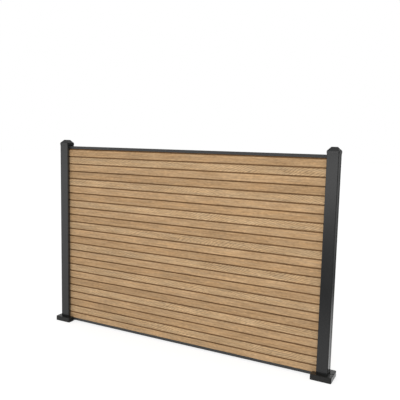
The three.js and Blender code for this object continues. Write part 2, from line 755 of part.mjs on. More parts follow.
/** Angle clip in the post's slot: one leg on the slot floor, one over the top rail's end. */
function railClip() {
  const wall = SLOT_FLOOR + FIT;
  const bottom = TOP_RAIL_TOP + FIT;
  const section = outline([
    [wall, bottom],
    [wall + CLIP_FOOT, bottom],
    [wall + CLIP_FOOT, bottom + CLIP_THICKNESS],
    [wall + CLIP_THICKNESS, bottom + CLIP_THICKNESS],
    [wall + CLIP_THICKNESS, bottom + CLIP_HEIGHT],
    [wall, bottom + CLIP_HEIGHT],
  ]);
  const turn = new THREE.Matrix4().makeBasis(
    new THREE.Vector3(1, 0, 0),
    new THREE.Vector3(0, 0, 1),
    new THREE.Vector3(0, -1, 0),
  );
  const angle = extrudeUp(section, -CLIP_WIDTH / 2, CLIP_WIDTH / 2).applyMatrix4(turn);
  const hole = pin(CLIP_SCREW_RADIUS + FIT, -THROUGH, CLIP_THICKNESS + THROUGH);
  hole.rotateY(Math.PI / 2).translate(wall, 0, CLIP_SCREW_Z);
  return combine(angle, { cut: [hole] });
}

/** Pan-head screw that holds the clip to the slot floor. */
function clipScrew() {
  const headSeat = SLOT_FLOOR + CLIP_THICKNESS + 2 * FIT;
  const tip = SLOT_FLOOR - POST_WALL - CLIP_SCREW_REACH;
  const length = headSeat - tip;
  const headTop = length + CLIP_SCREW_HEAD_HEIGHT;
  const blank = turned([
    [0, 0],
    [CLIP_SCREW_RADIUS / 2, 0],
    [CLIP_SCREW_RADIUS, CLIP_SCREW_RADIUS],
    [CLIP_SCREW_RADIUS, length],
    [CLIP_SCREW_HEAD_RADIUS, length],
    [CLIP_SCREW_HEAD_TOP_RADIUS, headTop],
    [0, headTop],
  ]);
  const socket = socketCutter(CLIP_SCREW_SOCKET_RADIUS, CLIP_SCREW_SOCKET_DEPTH, headTop);
  const screw = combine(blank, { cut: [socket] });
  return screw.rotateY(Math.PI / 2).translate(tip, 0, CLIP_SCREW_Z);
}

/** One end of the screen: the post with its foot, covers, cap, seals and the clip of the top rail. */
function postEnd(side) {
  const end = new THREE.Group();
  const [lowY, highY] = side === "left" ? ["front", "back"] : ["back", "front"];
  const [lowCover, highCover] = coverHalves();
  end.add(
    piece(`post_${side}`, post(), "powderCoat"),
    piece(`post_cap_${side}`, cap(), "powderCoat"),
    piece(`slot_cover_${side}`, slotCover(), "powderCoat"),
    piece(`foot_plate_${side}`, footPlate(), "galvanised"),
    piece(`base_cover_${side}_${lowY}`, lowCover, "blackPlastic"),
    piece(`base_cover_${side}_${highY}`, highCover, "blackPlastic"),
    piece(`slot_seal_${side}_${lowY}`, slotSeal(-1), "rubber"),
    piece(`slot_seal_${side}_${highY}`, slotSeal(1), "rubber"),
    piece(`rail_pad_${side}`, railPad(), "rubber"),
    piece(`rail_clip_${side}`, railClip(), "stainless"),
    piece(`rail_clip_screw_${side}`, clipScrew(), "stainless"),
  );
  cornerOffsets(PORT_OFFSET).forEach(([x, y], i) => {
    const screw = piece(`foot_screw_${side}_${i + 1}`, footScrew(), "stainless");
    screw.position.set(x, y, FIT);
    end.add(screw);
  });
  return end;
}

/** The boards from the ground up, between the two rails. */
function infill() {
  const panel = new THREE.Group();
  const lower = piece("bottom_rail", bottomRail(), "darkRail");
  lower.position.z = BOTTOM_RAIL_Z;
  const upper = piece("top_rail", topRail(), "darkRail");
  upper.position.z = TOP_RAIL_Z;
  panel.add(lower, upper);
  const boardGeometry = board();
  for (let i = 0; i < BOARD_COUNT; i += 1) {
    const plank = piece(`board_${i + 1}`, boardGeometry, "composite");
    plank.position.z = INFILL_BOTTOM + i * COVER_PITCH;
    panel.add(plank);
  }
  return panel;
}

const screen = new THREE.Group();
const leftEnd = postEnd("left");
leftEnd.position.x = -POST_OFFSET;
const rightEnd = postEnd("right");
rightEnd.position.x = POST_OFFSET;
rightEnd.rotation.z = Math.PI;
screen.add(infill(), leftEnd, rightEnd);

export default screen;
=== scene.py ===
import math

import bmesh
import bpy
from mathutils import Matrix, Vector


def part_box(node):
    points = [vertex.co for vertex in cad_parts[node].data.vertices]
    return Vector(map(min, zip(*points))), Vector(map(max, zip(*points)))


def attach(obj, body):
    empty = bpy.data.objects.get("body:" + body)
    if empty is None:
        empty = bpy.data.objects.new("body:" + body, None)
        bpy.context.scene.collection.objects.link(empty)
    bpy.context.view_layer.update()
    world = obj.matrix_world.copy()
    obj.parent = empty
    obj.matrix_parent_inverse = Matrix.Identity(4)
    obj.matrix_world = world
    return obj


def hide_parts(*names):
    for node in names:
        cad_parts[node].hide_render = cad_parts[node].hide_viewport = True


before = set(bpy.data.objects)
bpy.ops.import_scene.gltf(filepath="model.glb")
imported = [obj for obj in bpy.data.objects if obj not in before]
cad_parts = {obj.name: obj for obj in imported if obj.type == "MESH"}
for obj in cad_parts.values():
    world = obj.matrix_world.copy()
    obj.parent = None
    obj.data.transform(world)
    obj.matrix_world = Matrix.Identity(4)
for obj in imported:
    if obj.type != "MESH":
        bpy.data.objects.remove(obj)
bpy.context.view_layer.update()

# ------------------------------------------------------------------------------------------
# The place the screen stands in: a pale studio floor, a white surround, the camera, and one
# large soft lamp in front, a little to the right. Metres; the screen runs along X, facing -Y.

CAMERA_PLACE = Vector((1.5859, -2.7864, 1.3028))
CAMERA_TURN = 0.4828
CAMERA_DIP = 0.1154
CAMERA_ROLL = 0.0222
CAMERA_LENS = 46.98
CAMERA_SENSOR = 36.0
FLOOR_SIZE = 60.0
FLOOR_PLACE = (0.0, 0.0, -0.0005)
FLOOR_TONE = (0.34, 0.34, 0.34, 1.0)
FLOOR_ROUGHNESS = 0.9
FLOOR_GLOW = 0.74  # the floor is a lit table, so that the screen's shadow on it stays faint
WHITE = (1.0, 1.0, 1.0, 1.0)
LAMP_PLACE = Vector((0.8, -3.0, 1.9))
LAMP_AIM = Vector((0.0, 0.0, 0.5))
LAMP_SIZE = 2.0
LAMP_WATTS = 44.0
SOFT_LIGHT = 0.705
SIDE_LIGHT = 0.68  # more light comes along the screen than across it, and most from the left
LEAST_LIGHT_EAST = 0.2  # the east part of the direction that the least light comes from

# What gloss sees of the studio, as (sine of the ray's rise + HORIZON, brightness). In front of
# the screen lies a dark card, then a bright band up to the horizon, and dark above it. Behind
# the screen the floor is bright, the horizon dark, and a bright strip hangs higher up.
HORIZON = 0.5
FRONT_GLOSS = (
    (0.0, 0.38), (0.10, 0.45), (0.145, 0.70), (0.17, 0.55), (0.20, 0.0), (0.31, 0.0),
    (0.35, 0.50), (0.39, 1.05), (0.43, 1.35), (0.462, 1.4), (0.485, 1.0), (0.50, 0.9),
    (0.57, 0.1), (0.90, 0.1), (1.0, 0.35),
)
BESIDE_GLOSS = ((0.0, 0.45), (0.10, 0.50), (0.50, 0.92), (0.57, 0.3), (0.90, 0.1), (1.0, 0.35))
BACK_GLOSS = (
    (0.0, 1.15), (0.06, 1.05), (0.093, 0.95), (0.13, 0.78), (0.17, 0.60), (0.205, 0.4),
    (0.23, 0.10), (0.27, 0.12), (0.31, 0.20), (0.50, 0.26), (0.56, 0.05), (0.78, 0.05),
    (0.81, 1.3), (0.925, 1.3), (0.96, 0.1), (1.0, 0.35),
)

# Where that changes from side to side, as (start, end) of a part of the ray's direction. The
# card's edges and the dark off the right end go by east over north, which has no sign there
# and counts as LEAST_NORTH at least. Front to back goes by north, the last two go by east.
LEAST_NORTH = 0.05
CARD_LEFT = (-0.75, -0.45)
CARD_RIGHT = (0.1, 0.5)
RIGHT_DARK_IN_FRONT = (-0.05, 0.15)
RIGHT_DARK_BEHIND = (0.30, 0.52)
FRONT_TO_BACK = (-0.2, 0.2)
LEFT_DARK = (0.84, 0.95)
STRAIGHT_OFF = (0.90, 0.985)
END_SHADE = 0.95  # how much darker the dark off both ends is
STRAIGHT_OFF_LIFT = 0.8  # how much of that shade goes again straight off the ends


class Signal:
    """One socket of a node tree. Arithmetic on it adds Math nodes to the tree."""

    def __init__(self, tree, socket=None):
        self.tree = tree
        self.socket = socket

    def node(self, kind, settings=None, values=None, output=0):
        """Adds a node: its settings first, then numbers, colours or signals for its sockets."""
        made = self.tree.nodes.new(kind)
        for name, value in (settings or {}).items():
            if name == "stops":
                stops = made.color_ramp.elements
                while len(stops) < len(value):
                    stops.new(1.0)
                for stop, (place, tone) in zip(stops, value):
                    stop.position = place
                    stop.color = tone
            else:
                setattr(made, name, value)
        for name, value in (values or {}).items():
            if isinstance(value, Signal):
                self.tree.links.new(value.socket, made.inputs[name])
            else:
                made.inputs[name].default_value = value
        return Signal(self.tree, made.outputs[output] if made.outputs else None)

    def side(self, name):
        """Another output of the node this signal comes from."""
        return Signal(self.tree, self.socket.node.outputs[name])

    def math(self, operation, first, second=0.0):
        """A Math node on numbers or signals."""
        return self.node("ShaderNodeMath", {"operation": operation}, {0: first, 1: second})

    def __add__(self, other):
        return self.math("ADD", self, other)

    def __radd__(self, other):
        return self.math("ADD", other, self)

    def __sub__(self, other):
        return self.math("SUBTRACT", self, other)

    def __rsub__(self, other):
        return self.math("SUBTRACT", other, self)

    def __mul__(self, other):
        return self.math("MULTIPLY", self, other)

    def __rmul__(self, other):
        return self.math("MULTIPLY", other, self)

    def __truediv__(self, other):
        return self.math("DIVIDE", self, other)

    def __rtruediv__(self, other):
        return self.math("DIVIDE", other, self)

    def ramp(self, low, high, start=0.0, end=1.0):
        """This value carried smoothly from the range low to high into start to end."""
        return self.node(
            "ShaderNodeMapRange",
            {"interpolation_type": "SMOOTHSTEP"},
            {"Value": self, "From Min": low, "From Max": high, "To Min": start, "To Max": end},
        )

    def mix(self, first, second, blend="MIX"):
        """Two colours mixed by this value."""
        settings = {"data_type": "RGBA", "blend_type": blend}
        return self.node("ShaderNodeMix", settings, {0: self, 6: first, 7: second}, output=2)


scene = bpy.context.scene
scene.view_settings.view_transform = "Standard"

bpy.ops.object.camera_add()
camera = bpy.context.object
camera.name = "camera"
camera.data.lens = CAMERA_LENS
camera.data.sensor_width = CAMERA_SENSOR
camera.matrix_world = (
    Matrix.Translation(CAMERA_PLACE)
    @ Matrix.Rotation(CAMERA_TURN, 4, "Z")
    @ Matrix.Rotation(math.pi / 2 - CAMERA_DIP, 4, "X")
    @ Matrix.Rotation(CAMERA_ROLL, 4, "Z")
)
scene.camera = camera

bpy.ops.mesh.primitive_plane_add(size=FLOOR_SIZE, location=FLOOR_PLACE)
floor = bpy.context.object
floor.name = "studio_floor"
bpy.ops.object.transform_apply(location=True)
floor.visible_glossy = False
floor_paint = bpy.data.materials.new("floor_paint")
floor_paint.use_nodes = True
floor_shader = floor_paint.node_tree.nodes["Principled BSDF"]
floor_shader.inputs["Base Color"].default_value = FLOOR_TONE
floor_shader.inputs["Emission Color"].default_value = WHITE
floor_shader.inputs["Emission Strength"].default_value = FLOOR_GLOW
floor_shader.inputs["Roughness"].default_value = FLOOR_ROUGHNESS
floor_shader.inputs["Specular IOR Level"].default_value = 0.0
floor.data.materials.append(floor_paint)

bpy.ops.object.light_add(type="AREA", location=LAMP_PLACE)
lamp = bpy.context.object
lamp.name = "soft_lamp"
lamp.data.size = LAMP_SIZE
lamp.data.energy = LAMP_WATTS
lamp.rotation_euler = (LAMP_AIM - LAMP_PLACE).to_track_quat("-Z", "Y").to_euler()
lamp.visible_glossy = False

scene.world = bpy.data.worlds.new("surround")
scene.world.use_nodes = True
surround = scene.world.node_tree
surround.nodes.clear()
ray = Signal(surround).node("ShaderNodeTexCoord", output="Generated")
apart = ray.node("ShaderNodeSeparateXYZ", values={0: ray})
east, north, rise = apart.side("X"), apart.side("Y"), apart.side("Z")


def brightness(stops):
    """How bright the studio is at the height that a ray goes to."""
    greys = tuple((place, (level, level, level, 1.0)) for place, level in stops)
    return rise.node("ShaderNodeValToRGB", {"stops": greys}, {"Fac": rise + HORIZON})


behind = north.ramp(*FRONT_TO_BACK)
sideways = east / ray.math("MAXIMUM", ray.math("ABSOLUTE", north), LEAST_NORTH)
card = sideways.ramp(*CARD_LEFT) * (1 - sideways.ramp(*CARD_RIGHT))
front_gloss = card * brightness(FRONT_GLOSS) + (1 - card) * brightness(BESIDE_GLOSS)
gloss = behind * brightness(BACK_GLOSS) + (1 - behind) * front_gloss
right_end = sideways.ramp(*RIGHT_DARK_BEHIND) * behind
right_end = right_end + sideways.ramp(*RIGHT_DARK_IN_FRONT) * (1 - behind)
ends = right_end + (0 - east).ramp(*LEFT_DARK)
lift = ray.math("ABSOLUTE", east).ramp(*STRAIGHT_OFF) * STRAIGHT_OFF_LIFT
gloss = gloss * (1 - END_SHADE * (1 - lift) * ends)
soft = SOFT_LIGHT + SIDE_LIGHT * (east - LEAST_LIGHT_EAST) * (east - LEAST_LIGHT_EAST)
path = ray.node("ShaderNodeLightPath")
in_gloss, in_view = path.side("Is Glossy Ray"), path.side("Is Camera Ray")
level = in_view + (1 - in_view) * (in_gloss * gloss + (1 - in_gloss) * soft)
glow = ray.node("ShaderNodeBackground", values={"Color": WHITE, "Strength": level})
ray.node("ShaderNodeOutputWorld", values={"Surface": glow})

# ------------------------------------------------------------------------------------------
# Foot plates: 6 mm steel, cut, drilled and hot-dip galvanised. One stands under each post,
# screwed up into the post's screw ports and bolted down through its corners.

PLATE_THICKNESS = 0.006
PLATE_EDGE_RADIUS = 0.0005
ZINC_DARK = (0.42, 0.44, 0.45, 1.0)
ZINC_LIGHT = (0.62, 0.64, 0.65, 1.0)
CRYSTALS_PER_METRE = 110.0
CRYSTAL_RELIEF = 0.0002
MERGE_DISTANCE = 1e-6
SAME_PLACE = 1e-5
DEGENERATE = 4e-6
FLAT_ANGLE = math.radians(0.5)
SMOOTH_ANGLE = math.radians(40)
SHARP_ANGLE = math.radians(60)
ROUNDING_STEPS = 2
ALONG = 0.99  # the least part of an edge's length that runs along an axis it is said to follow
OTHER_END = Matrix.Rotation(math.pi, 4, "Z")  # the right end is the left end turned about
TURNED_NAMES = {"left": "right", "front": "back", "back": "front"}


def new_finish(name):
    """An empty material and its Object coordinates, which are metres in the screen's frame."""
    material = bpy.data.materials.new(name)
    material.use_nodes = True
    material.node_tree.nodes.clear()
    place = Signal(material.node_tree).node("ShaderNodeTexCoord", output="Object")
    return material, place


def noise(place, scales, detail=2.0, roughness=0.5, seed=(0.0, 0.0, 0.0)):
    """Soft noise, from 0 to 1, with its own scale along each axis, in waves per metre."""
    spread = place.node(
        "ShaderNodeVectorMath",
        {"operation": "MULTIPLY_ADD"},
        {0: place, 1: scales, 2: seed},
    )
    values = {"Vector": spread, "Scale": 1.0, "Detail": detail, "Roughness": roughness}
    return place.node("ShaderNodeTexNoise", values=values)


def finish_with(place, height, depth, sockets):
    """The surface shader of a material, with its bump, and the material's output."""
    bump = place.node("ShaderNodeBump", values={"Height": height, "Distance": depth})
    values = {**sockets, "Normal": bump}
    shader = place.node("ShaderNodeBsdfPrincipled", values=values)
    place.node("ShaderNodeOutputMaterial", values={"Surface": shader})


def only(piece):
    """Deselects all but one piece and makes it the active one."""
    bpy.ops.object.select_all(action="DESELECT")
    bpy.context.view_layer.objects.active = piece
    piece.select_set(True)


def apply(piece, kind, **settings):
    """Adds a modifier to a piece, sets it and applies it."""
    modifier = piece.modifiers.new(kind.lower(), kind)
    for name, value in settings.items():
        setattr(modifier, name, value)
    only(piece)
    bpy.ops.object.modifier_apply(modifier=modifier.name)


def smooth(piece):
    """Soft shading over rounded edges, with the flat faces kept flat."""
    only(piece)
    bpy.ops.object.shade_smooth_by_angle(angle=SMOOTH_ANGLE)
    apply(piece, "WEIGHTED_NORMAL", keep_sharp=True)


def choose_edges(piece, chosen):
    """Selects a piece's edges in edit mode by a test of each."""
    bpy.ops.mesh.select_all(action="DESELECT")
    bpy.ops.mesh.select_mode(type="EDGE")
    shape = bmesh.from_edit_mesh(piece.data)
    for edge in shape.edges:
        edge.select_set(chosen(edge))
    bmesh.update_edit_mesh(piece.data)


def tidy(piece):
    """Removes faces and edges without a size."""
    only(piece)
    bpy.ops.object.mode_set(mode="EDIT")
    bpy.ops.mesh.select_all(action="SELECT")
    bpy.ops.mesh.dissolve_degenerate(threshold=DEGENERATE)
    bpy.ops.object.mode_set(mode="OBJECT")


def refined(node, name, material, radius, chosen, reshape=None):
    """A copy of a node, its triangles merged to whole faces and its chosen edges rounded."""
    piece = bpy.data.objects.new(name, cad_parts[node].data.copy())
    scene.collection.objects.link(piece)
    piece.data.materials.clear()
    piece.data.materials.append(material)
    only(piece)
    bpy.ops.object.mode_set(mode="EDIT")
    bpy.ops.mesh.select_all(action="SELECT")
    bpy.ops.mesh.remove_doubles(threshold=MERGE_DISTANCE)
    bpy.ops.mesh.dissolve_limited(angle_limit=FLAT_ANGLE)
    if reshape:
        reshape(piece)
    choose_edges(piece, lambda edge: edge.is_convex and chosen(edge))
    bpy.ops.mesh.bevel(offset=radius, segments=ROUNDING_STEPS, affect="EDGES")
    bpy.ops.object.mode_set(mode="OBJECT")
    tidy(piece)
    smooth(piece)
    return piece


def stands_for(piece, node):
    """Puts a piece on the one body and hides the node whose place it takes."""
    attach(piece, "root")
    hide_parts(node)


def copied(piece, name, shift):
    """Another piece of the same shape, with its own mesh, put in its place by a matrix."""
    other = bpy.data.objects.new(name, piece.data.copy())
    other.data.transform(shift)
    scene.collection.objects.link(other)
    return other


def turned_name(name):
    """What a name at the left end becomes at the right end, where front and back change too."""
    return "_".join(TURNED_NAMES.get(word, word) for word in name.split("_"))


def at_both_ends(piece, node):
    """Puts a left piece in its node's place, and a copy of it at the right end."""
    stands_for(piece, node)
    other = copied(piece, turned_name(piece.name), OTHER_END)
    stands_for(other, turned_name(node))


def is_sharp(edge):
    """Whether the faces at an edge meet at more than a slope."""
    return edge.calc_face_angle(0.0) > SHARP_ANGLE


def runs_along(edge, axis):
    """Whether an edge lies along an axis, X being 0."""
    run = edge.verts[1].co - edge.verts[0].co
    return abs(run[axis]) > ALONG * run.length


def on_plate_top(edge):
    """Whether an edge of a foot plate borders its top face."""
    near = min(abs(v.co.z - PLATE_THICKNESS) for v in edge.verts)
    return near < SAME_PLACE and not runs_along(edge, 2)


galvanised, place = new_finish("galvanised_steel")
scale = {"Vector": place, "Scale": CRYSTALS_PER_METRE}
crystals = place.node("ShaderNodeTexVoronoi", values=scale, output="Color")
shade = crystals.node("ShaderNodeSeparateColor", values={0: crystals})
cloud = noise(place, (40, 40, 40), detail=3)
finish_with(place, shade * 0.3 + cloud, CRYSTAL_RELIEF, {
    "Base Color": (shade * 0.6 + cloud * 0.4).mix(ZINC_DARK, ZINC_LIGHT),
    "Metallic": 0.9,
    "Roughness": 0.38 + shade * 0.22,
})

foot_plate = refined(
    "foot_plate_left", "foot_plate_steel_left", galvanised, PLATE_EDGE_RADIUS,
    lambda edge: is_sharp(edge) and on_plate_top(edge),
)
at_both_ends(foot_plate, "foot_plate_left")

# ------------------------------------------------------------------------------------------
# Posts: square aluminium extrusions with a slot on two sides, powder coated anthracite in a
# satin gloss. They stand on the foot plates and hold the boards' ends in their slots.

POST_MIDDLE = 0.9225
POST_LIP_RADIUS = 0.0005
POST_SKIN = 0.030  # from the post's middle, only its outer faces and corners lie farther out
COAT_DARK = (0.0125, 0.0127, 0.0128, 1.0)
COAT_LIGHT = (0.0160, 0.0162, 0.0163, 1.0)
COAT_DRIFT = (0.3, 0.7)
COAT_RELIEF = 0.00006

powder_coat, place = new_finish("powder_coat")
drift = noise(place, (6, 6, 2.5), detail=3)
peel = noise(place, (700, 700, 700), detail=1)
ripple = noise(place, (160, 160, 160), detail=1)
finish_with(place, peel * 0.4 + ripple * 0.6, COAT_RELIEF, {
    "Base Color": drift.ramp(*COAT_DRIFT).mix(COAT_DARK, COAT_LIGHT),
    "Roughness": 0.17 + drift * 0.06,
    "Specular IOR Level": 0.82,
})

post = refined(
    "post_left", "post_extrusion_left", powder_coat, POST_LIP_RADIUS,
    lambda edge: runs_along(edge, 2)
    and max(abs(edge.verts[0].co.x + POST_MIDDLE), abs(edge.verts[0].co.y)) > POST_SKIN,
)
at_both_ends(post, "post_left")

# ------------------------------------------------------------------------------------------
# Foot screws: stainless countersunk screws with a hexagon socket and a rolled thread. Four go
# up through each foot plate into the screw ports of the post.

FOOT_SCREWS = 4
FOOT_SCREW_PROFILE = (  # (radius, height), from the middle of the head to the tip
    (0.0, 0.0003), (0.0050, 0.0003), (0.0055, 0.0006), (0.0024, 0.0037),
    (0.0024, 0.0272), (0.0014, 0.0283), (0.0, 0.0283),
)
FOOT_SCREW_THREAD = (0.0022, 0.0028, 0.0045, 0.0270)  # root and crest radius, lower and upper end
FOOT_SCREW_PITCH = 0.0010
FOOT_SCREW_SOCKET = (0.0021, 0.0023)  # radius over the corners, depth
THREAD_FLANK = 0.42  # half the ridge's width at its root, as a part of the pitch
TURN_STEPS = 32
SPECK_SIZE = 0.001  # of the plane that is merged to one point to start a line
STEEL_DARK = (0.52, 0.52, 0.51, 1.0)
STEEL_LIGHT = (0.66, 0.66, 0.65, 1.0)
STEEL_RELIEF = 0.00003


def drawn(name, points):
    """A line through points in the XZ plane, drawn by extruding one vertex."""
    bpy.ops.object.select_all(action="DESELECT")
    bpy.ops.mesh.primitive_plane_add(size=SPECK_SIZE)
    piece = bpy.context.object
    piece.name = name
    bpy.ops.object.mode_set(mode="EDIT")
    bpy.ops.mesh.select_mode(type="VERT")
    bpy.ops.mesh.select_all(action="SELECT")
    bpy.ops.mesh.merge(type="CENTER")
    last = Vector((0.0, 0.0, 0.0))
    for count, (across, height) in enumerate(points):
        step = Vector((across, 0.0, height)) - last
        if count == 0:
            bpy.ops.transform.translate(value=step)
        else:
            bpy.ops.mesh.extrude_region_move(TRANSFORM_OT_translate={"value": step})
        last += step
    return piece


def threaded(name, profile, thread, pitch, socket):
    """A screw on the Z axis: a turned body joined to a coiled ridge, with a hexagon socket."""
    body = drawn(name, profile)
    bpy.ops.mesh.select_all(action="SELECT")
    bpy.ops.mesh.spin(steps=TURN_STEPS, angle=math.tau, center=(0, 0, 0), axis=(0, 0, 1))
    bpy.ops.mesh.select_all(action="SELECT")
    bpy.ops.mesh.remove_doubles(threshold=MERGE_DISTANCE)
    bpy.ops.mesh.normals_make_consistent(inside=False)
    bpy.ops.object.mode_set(mode="OBJECT")
    root, crest, low, high = thread
    flank = pitch * THREAD_FLANK
    ridge = drawn("ridge", ((root, low - flank), (crest, low), (root, low + flank)))
    bpy.ops.mesh.select_all(action="SELECT")
    bpy.ops.mesh.edge_face_add()
    bpy.ops.mesh.delete(type="ONLY_FACE")
    bpy.ops.object.mode_set(mode="OBJECT")
    turns = round((high - low) / pitch)
    apply(ridge, "SCREW", angle=math.tau, screw_offset=pitch, iterations=turns,
          steps=TURN_STEPS // 2, render_steps=TURN_STEPS // 2, use_merge_vertices=False)
    bpy.ops.object.mode_set(mode="EDIT")
    choose_edges(ridge, lambda edge: edge.is_boundary)
    bpy.ops.mesh.fill()
    bpy.ops.mesh.select_all(action="SELECT")
    bpy.ops.mesh.normals_make_consistent(inside=False)
    bpy.ops.object.mode_set(mode="OBJECT")
    bpy.ops.object.select_all(action="DESELECT")
    bpy.ops.mesh.primitive_cylinder_add(vertices=6, radius=socket[0], depth=2 * socket[1])
    hexagon = bpy.context.object
    top = max(profile, key=lambda point: point[0])[1]
    ends = (profile[0][1], profile[-1][1])
    hexagon.location.z = min(ends, key=lambda height: abs(height - top))
    apply(body, "BOOLEAN", object=ridge, operation="UNION", solver="EXACT")
    apply(body, "BOOLEAN", object=hexagon, operation="DIFFERENCE", solver="EXACT")
    tidy(body)
    bpy.data.objects.remove(ridge)
    bpy.data.objects.remove(hexagon)
    return body


stainless, place = new_finish("stainless_steel")
scratch = noise(place, (900, 900, 2600), detail=2)
finish_with(place, scratch, STEEL_RELIEF, {
    "Base Color": scratch.mix(STEEL_DARK, STEEL_LIGHT),
    "Metallic": 1.0,
    "Roughness": 0.22 + scratch * 0.18,
})

pattern = threaded(
    "foot_screw_pattern", FOOT_SCREW_PROFILE, FOOT_SCREW_THREAD, FOOT_SCREW_PITCH, FOOT_SCREW_SOCKET
)
pattern.data.materials.append(stainless)
smooth(pattern)
for side in ("left", "right"):
    for count in range(FOOT_SCREWS):
        node = f"foot_screw_{side}_{count + 1}"
        low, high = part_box(node)
        middle = (low + high) / 2
        spot = Matrix.Translation((middle.x, middle.y, 0.0))
        screw = copied(pattern, f"threaded_{node}", spot)
        stands_for(screw, node)
bpy.data.objects.remove(pattern)

# ------------------------------------------------------------------------------------------
# Slot seals: black rubber strips in the posts' grooves, one in front of the boards' ends and
# one behind them. They close the gap and keep the boards from rattling.

SEAL_EDGE_RADIUS = 0.0004
RUBBER_DARK = (0.010, 0.010, 0.010, 1.0)
RUBBER_LIGHT = (0.019, 0.019, 0.0185, 1.0)
RUBBER_RELIEF = 0.00005

rubber, place = new_finish("black_rubber")
bloom = noise(place, (60, 60, 25), detail=4)
speck = noise(place, (1500, 1500, 1500), detail=1)
finish_with(place, speck, RUBBER_RELIEF, {
    "Base Color": bloom.mix(RUBBER_DARK, RUBBER_LIGHT),
    "Roughness": 0.68 + bloom * 0.2,
})

for face in ("front", "back"):
    seal = refined(
        f"slot_seal_left_{face}", f"seal_strip_left_{face}", rubber, SEAL_EDGE_RADIUS,
        lambda edge: runs_along(edge, 2) and is_sharp(edge),
    )
    at_both_ends(seal, f"slot_seal_left_{face}")

# ------------------------------------------------------------------------------------------
# Rail pads: moulded rubber blocks on the foot plates, with pockets in their top, that carry
# the ends of the bottom rail.

PAD_POCKETS = 5
PAD_POCKET_DEPTH = 0.0008
PAD_WEB = 0.0012
PAD_EDGE_RADIUS = 0.0005
UPWARD = 0.9  # the least upward part of the normal of a face that looks up

low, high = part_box("rail_pad_left")
size = high - low
bpy.ops.object.select_all(action="DESELECT")
bpy.ops.mesh.primitive_cube_add(size=1.0, location=(low + high) / 2, scale=size)
pad = bpy.context.object
pad.name = "rail_pad_block_left"
bpy.ops.object.transform_apply(location=True, scale=True)
bpy.ops.object.mode_set(mode="EDIT")
for cut in range(1, PAD_POCKETS):
    bpy.ops.mesh.select_all(action="SELECT")
    bpy.ops.mesh.bisect(plane_co=(low.x + size.x * cut / PAD_POCKETS, 0, 0), plane_no=(1, 0, 0))
bpy.ops.mesh.select_all(action="DESELECT")
bpy.ops.mesh.select_mode(type="FACE")
shape = bmesh.from_edit_mesh(pad.data)
for face in shape.faces:
    face.select_set(face.normal.z > UPWARD)
bmesh.update_edit_mesh(pad.data)
bpy.ops.mesh.inset(thickness=PAD_WEB, use_individual=True)
bpy.ops.mesh.extrude_region_move(TRANSFORM_OT_translate={"value": (0, 0, -PAD_POCKET_DEPTH)})
choose_edges(pad, lambda edge: edge.is_convex and is_sharp(edge) and all(
    min(v.co.x - low.x, high.x - v.co.x, v.co.y - low.y, high.y - v.co.y) < MERGE_DISTANCE
    for v in edge.verts
))
bpy.ops.mesh.bevel(offset=PAD_EDGE_RADIUS, segments=ROUNDING_STEPS, affect="EDGES")
bpy.ops.object.mode_set(mode="OBJECT")
pad.data.materials.append(rubber)
smooth(pad)
at_both_ends(pad, "rail_pad_left")

# ------------------------------------------------------------------------------------------
# Bottom rail: an aluminium channel that carries the lowest board, coated in a lighter and
# duller tone than the posts. Its ends stand in the posts' slots.

RAIL_LIP_RADIUS = 0.0004
RAIL_DARK = (0.024, 0.0242, 0.0244, 1.0)
RAIL_LIGHT = (0.031, 0.0312, 0.0314, 1.0)
RAIL_RELIEF = 0.00004

rail_coat, place = new_finish("rail_coat")
drawn_lines = noise(place, (3, 500, 500), detail=2)
haze = noise(place, (5, 30, 30), detail=3)
finish_with(place, drawn_lines, RAIL_RELIEF, {
    "Base Color": haze.mix(RAIL_DARK, RAIL_LIGHT),
    "Roughness": 0.32 + haze * 0.1,
    "Specular IOR Level": 0.75,
})

bottom_rail = refined(
    "bottom_rail", "bottom_rail_channel", rail_coat, RAIL_LIP_RADIUS,
    lambda edge: runs_along(edge, 0) and is_sharp(edge),
)
stands_for(bottom_rail, "bottom_rail")

# ------------------------------------------------------------------------------------------
# Boards: hollow wood-plastic composite, extruded with three lamellae on each face. The oak
# tone is streaked in as it is extruded, and the figure is rolled into the surface.

BOARD_COUNT = 8
LAMELLAE = 3
LAMELLA_PITCH = 0.050
BOARD_HEIGHT = LAMELLAE * LAMELLA_PITCH
INFILL_BOTTOM = 0.016
FACE_DEPTH = 0.0105
GROOVE_DEPTH = 0.004
BOARD_LIP_RADIUS = 0.0004
ROUNDING_GUARD = 0.1  # keeps a whole number of lamellae from counting as a little less
OAK_LOW = (0.376, 0.249, 0.1365, 1.0)  # the lowest lamella of each board
OAK_MIDDLE = (0.362, 0.248, 0.140, 1.0)
OAK_TOP = (0.347, 0.225, 0.119, 1.0)
# Painted shade: the oak turns darker and browner towards the floor of the grooves between lamellae.
OAK_PAINTED_SHADE_IN_GROOVE = (0.362, 0.190, 0.074, 1.0)
OAK_BLUSH = (1.0, 0.90, 0.76, 1.0)  # warms the oak where it multiplies it
BLUSH_AREAS = (0.3, 0.7)
BLUSH_MOST = 0.6
BOARD_RELIEF = 0.0002

# How far the noise of each board, face and lamella lies from that of its neighbours. For the
# boards it is the most, times a chance from 0 to 1 that is drawn from these seeds.
BOARD_APART = 37.0
FACE_APART = 3.0
LAMELLA_APART = 7.7
BOARD_SEED = (0.37, 5.1)  # step from board to board, start
FACE_SEED = 0.71
LAMELLA_SEED = (0.61, 3.3)

